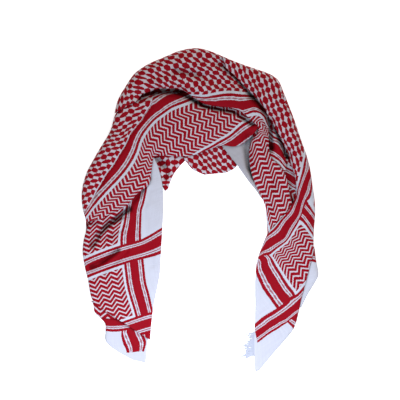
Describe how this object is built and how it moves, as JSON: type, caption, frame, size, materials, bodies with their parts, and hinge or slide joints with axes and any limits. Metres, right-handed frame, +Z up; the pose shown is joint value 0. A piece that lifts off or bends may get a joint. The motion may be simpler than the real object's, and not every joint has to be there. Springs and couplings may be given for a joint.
{
  "type": "keffiyeh headscarf",
  "caption": "Square cotton headscarf with a red and white woven check and striped border, folded into an arch and laid flat with both ends hanging down.",
  "frame": {"origin": "middle of the outline, on the surface that the scarf lies on", "axes": "+Z up from the surface, +Y towards the head of the arch, +X to the right seen from above"},
  "size_m": [0.474, 0.648, 0.046],
  "materials": {
    "check_cotton": "woven, matt",
    "border_cotton": "woven, matt",
    "white_cotton": "woven, matt"
  },
  "bodies": {
    "root": {"hidden_folds": "check_cotton", "top_bundle": "check_cotton", "front_band": "check_cotton", "right_outer": "check_cotton", "left_panel": "border_cotton", "left_foot": "border_cotton", "left_flap": "check_cotton", "right_flap": "check_cotton", "white_fold": "white_cotton", "right_under": "white_cotton", "fringe": "white_cotton"}
  },
  "joints": []
}
